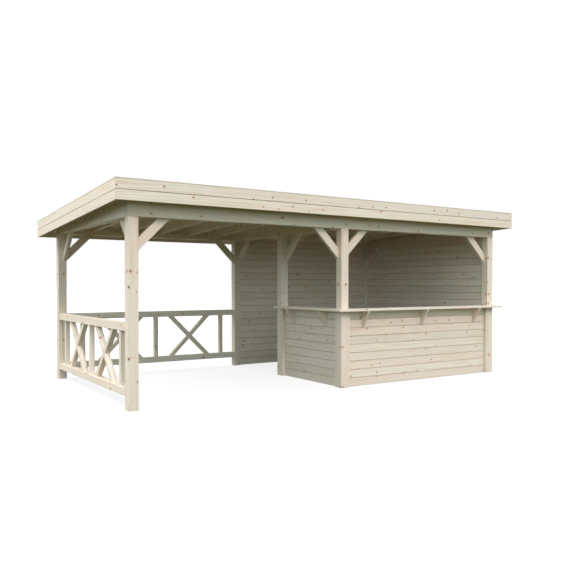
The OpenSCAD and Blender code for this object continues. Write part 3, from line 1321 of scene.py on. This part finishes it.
@dataclass
class Railings:
    """The crossed railings of the open bay.

    Attributes:
        workshop: Store of materials.
        finish: Finish of the timbers.
        rail_size: Side of a rail, in metres.
        bar_size: Side of an upright or a diagonal.
        rounding: Size of the rounded edges.
    """

    workshop: Workshop
    finish: SpruceFinish
    rail_size: float = 0.09
    bar_size: float = 0.06
    rounding: float = 0.004

    def build(self) -> None:
        """Builds the left and the back railing."""
        self.railing("rails_left", "railing_bars_left", 1)
        self.railing("rails_back", "railing_bars_back", 0)

    def railing(self, rails_node: str, bars_node: str, axis: int) -> None:
        """Builds one railing: two rails, three uprights and a halved cross between each two uprights.

        Args:
            rails_node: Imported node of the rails.
            bars_node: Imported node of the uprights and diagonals.
            axis: Number of the axis along the railing.
        """
        low, high = corners_of(rails_node)
        rails = []
        for bottom in (low[2], high[2] - self.rail_size):
            start, end = low.copy(), high.copy()
            start[2], end[2] = bottom, bottom + self.rail_size
            rails.append(box_timber(start, end, axis, radius=self.rounding, chamfer=0.0))
        self.workshop.timber_piece(rails_node, rails, self.finish, "posts_and_beams")

        low, high = corners_of(bars_node)
        middle = (low[axis] + high[axis] - self.bar_size) / 2
        places = [low[axis], middle, high[axis] - self.bar_size]
        bars = []
        for place in places:
            start, end = low.copy(), high.copy()
            start[axis], end[axis] = place, place + self.bar_size
            bars.append(box_timber(start, end, 2, radius=self.rounding, chamfer=0.0))
        for left, right in zip(places, places[1:]):
            centre = (left + self.bar_size + right) / 2
            bars += self.cross(low, high, centre, axis)
        self.workshop.timber_piece(bars_node, bars, self.finish, "posts_and_beams")

    def cross(self, low: np.ndarray, high: np.ndarray, centre: float, axis: int) -> list[Timber]:
        """Makes a cross: one whole diagonal, and two halves that butt against it.

        Args:
            low: Lowest corner of the railing's bars.
            high: Highest corner of the railing's bars.
            centre: Place of the crossing along the railing.
            axis: Number of the axis along the railing.

        Returns:
            The three timbers.
        """
        height = high[2] - low[2]
        half_cut = self.bar_size * math.sqrt(2.0) / 2
        depth = 1 - axis

        def section(run: float, rise: float, slant: float) -> np.ndarray:
            """Returns the four corners of a level cut; slant tips it along the whole diagonal."""
            ring = np.zeros((4, 3))
            ring[:, axis] = centre + run + np.array([-half_cut, half_cut, half_cut, -half_cut])
            ring[:, 2] = low[2] + rise
            if slant:
                ring[:, axis] = centre + run + slant * np.array([-half_cut, half_cut, half_cut, -half_cut]) / 2
                ring[:, 2] += np.array([half_cut, -half_cut, -half_cut, half_cut]) / 2
            ring[:, depth] = [low[depth], low[depth], high[depth], high[depth]]
            return ring

        def diagonal(start: np.ndarray, end: np.ndarray) -> Timber:
            """Returns the timber between two cuts."""
            grain = end.mean(axis=0) - start.mean(axis=0)
            return Timber(start, end, grain, np.eye(3)[depth], radius=self.rounding, chamfer=0.0)

        half = height / 2
        reach = half_cut / 2
        return [
            diagonal(section(half, 0.0, 0.0), section(-half, height, 0.0)),
            diagonal(section(-half, 0.0, 0.0), section(-reach, half - reach, 1.0)),
            diagonal(section(reach, half + reach, 1.0), section(half, height, 0.0)),
        ]


# ---------------------------------------------------------------------------------------------
# Studio
# ---------------------------------------------------------------------------------------------


@dataclass(frozen=True)
class Lamp:
    """A lamp far away.

    Attributes:
        name: Name of the lamp.
        path: Direction in which its light travels.
        strength: Strength of its light.
        colour: Colour of its light.
        spread: Angle of sky that it fills, in degrees.
    """

    name: str
    path: tuple[float, float, float]
    strength: float
    colour: tuple[float, float, float]
    spread: float


@dataclass(frozen=True)
class Studio:
    """The plain pale floor, the plain light and the camera.

    Attributes:
        eye: Place of the camera, in metres.
        heading: Angle of the view to the right of +Y, in degrees.
        tilt: Angle of the view above the horizon, in degrees.
        lens: Focal length, in millimetres on a 36 mm sensor.
        lamps: The lamps.
        sky_colour: Colour of the sky's light.
        sky_strength: Strength of the sky's light.
        floor_light: Share of the light that the floor throws back on the object.
        floor_reach: Half the width of the floor, in metres.
    """

    eye: tuple[float, float, float] = (-5.280, -8.290, 1.3455)
    heading: float = 33.46
    tilt: float = -0.61
    lens: float = 40.38
    lamps: tuple[Lamp, ...] = (
        Lamp("sun", (0.12, 1.0, -0.75), 1.1, (1.0, 0.75, 0.75), 5.0),
        Lamp("left", (1.0, -0.15, -1.4), 1.71, (1.0, 0.81, 0.8), 40.0),
    )
    sky_colour: tuple[float, float, float] = (0.81, 0.95, 1.0)
    sky_strength: float = 1.57
    floor_light: tuple[float, float, float] = (0.06, 0.06, 0.02)
    floor_reach: float = 400.0

    def build(self) -> None:
        """Builds the camera, the lights and the floor."""
        self.camera()
        for lamp in self.lamps:
            self.lamp(lamp)
        self.sky()
        self.floor()
        bpy.context.scene.view_settings.view_transform = "Standard"

    def camera(self) -> None:
        """Makes the camera and gives it to the scene."""
        data = bpy.data.cameras.new("camera")
        data.lens = self.lens
        data.sensor_width = 36.0
        data.clip_end = 1000.0
        camera = bpy.data.objects.new("camera", data)
        camera.location = self.eye
        camera.rotation_euler = (math.radians(90.0 + self.tilt), 0.0, math.radians(-self.heading))
        bpy.context.scene.collection.objects.link(camera)
        bpy.context.scene.camera = camera

    def lamp(self, lamp: Lamp) -> None:
        """Makes a lamp, turned so that its light travels along its path.

        Args:
            lamp: The lamp.
        """
        data = bpy.data.lights.new(lamp.name, "SUN")
        data.energy = lamp.strength
        data.angle = math.radians(lamp.spread)
        data.color = lamp.colour
        thing = bpy.data.objects.new(lamp.name, data)
        x, y, z = lamp.path
        thing.rotation_euler = (math.atan2(math.hypot(x, y), -z), 0.0, math.atan2(-x, y))
        bpy.context.scene.collection.objects.link(thing)

    def sky(self) -> None:
        """Makes the sky: white where the camera sees it, and a plain soft light elsewhere."""
        world = bpy.data.worlds.new("sky")
        world.use_nodes = True
        tree = world.node_tree
        tree.nodes.clear()
        output = tree.nodes.new("ShaderNodeOutputWorld")
        light = tree.nodes.new("ShaderNodeBackground")
        light.inputs[0].default_value = (*self.sky_colour, 1.0)
        light.inputs[1].default_value = self.sky_strength
        white = tree.nodes.new("ShaderNodeBackground")
        white.inputs[0].default_value = (1.0, 1.0, 1.0, 1.0)
        mix = tree.nodes.new("ShaderNodeMixShader")
        tree.links.new(self.seen_directly(tree), mix.inputs[0])
        tree.links.new(light.outputs[0], mix.inputs[1])
        tree.links.new(white.outputs[0], mix.inputs[2])
        tree.links.new(mix.outputs[0], output.inputs[0])
        bpy.context.scene.world = world

    def seen_directly(self, tree: bpy.types.NodeTree) -> bpy.types.NodeSocket:
        """Returns 1 where the camera, a mirror or glass shows the surface, and 0 where it gives light.

        Args:
            tree: Node tree in which the socket is made.

        Returns:
            The socket.
        """
        path = tree.nodes.new("ShaderNodeLightPath")
        first = tree.nodes.new("ShaderNodeMath")
        first.operation = "MAXIMUM"
        second = tree.nodes.new("ShaderNodeMath")
        second.operation = "MAXIMUM"
        tree.links.new(path.outputs["Is Camera Ray"], first.inputs[0])
        tree.links.new(path.outputs["Is Glossy Ray"], first.inputs[1])
        tree.links.new(first.outputs[0], second.inputs[0])
        tree.links.new(path.outputs["Is Transmission Ray"], second.inputs[1])
        return second.outputs[0]

    def floor(self) -> None:
        """Makes the floor: nearly white with a soft shadow where it is seen, and dull where it gives light."""
        mesh = bpy.data.meshes.new("floor")
        reach = self.floor_reach
        corners = np.array([[-1, -1, 0], [1, -1, 0], [1, 1, 0], [-1, 1, 0]], float) * reach
        mesh.from_pydata(corners, [], [[0, 1, 2, 3]])
        g = Graph("floor")
        dull = g.put("ShaderNodeBsdfDiffuse", {"Color": (*self.floor_light, 1.0)})
        pale = g.put("ShaderNodeBsdfDiffuse", {"Color": (1.0, 1.0, 1.0, 1.0)})
        glow = g.put("ShaderNodeEmission", {"Color": (1.0, 1.0, 1.0, 1.0), "Strength": 1.0})
        shown = g.put("ShaderNodeMixShader", {0: 0.8, 1: pale, 2: glow})
        mixed = g.put("ShaderNodeMixShader", {0: self.seen_directly(g.tree), 1: dull, 2: shown})
        g.put("ShaderNodeOutputMaterial", {"Surface": mixed})
        mesh.materials.append(g.material)
        floor = bpy.data.objects.new("floor", mesh)
        bpy.context.scene.collection.objects.link(floor)


def clear_start_objects() -> None:
    """Removes what a new Blender file starts with."""
    for thing in list(bpy.data.objects):
        bpy.data.objects.remove(thing)


def main() -> None:
    """Builds the pavilion's looks around the frame, in the order in which it is put up."""
    logging.basicConfig(level=logging.INFO, format="%(name)s: %(message)s")
    clear_start_objects()
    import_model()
    Studio().build()

    frame_finish = SpruceFinish("spruce_frame", knot_pitch=0.15, knot_share=0.5, ring_pitch=0.02)
    board_finish = SpruceFinish("spruce_boards", knot_pitch=0.18, knot_share=0.55, knot_radius=(0.004, 0.011))
    strip_finish = SpruceFinish(
        "grey_strip",
        cream=tone_of(190, 185, 170),
        peach=tone_of(186, 178, 160),
        straw=tone_of(182, 179, 162),
        knot_share=0.0,
    )
    workshop = Workshop()
    plane = RoofPlane.of_frame()
    PostsAndBeams(workshop, frame_finish).build(plane)
    Braces(workshop, frame_finish).build()
    Roof(workshop, plane, frame_finish, board_finish, strip_finish).build()
    BoardWalls(workshop, board_finish).build()
    Bar(workshop, board_finish).build()
    Railings(workshop, frame_finish).build()


if __name__ == "__main__":
    main()
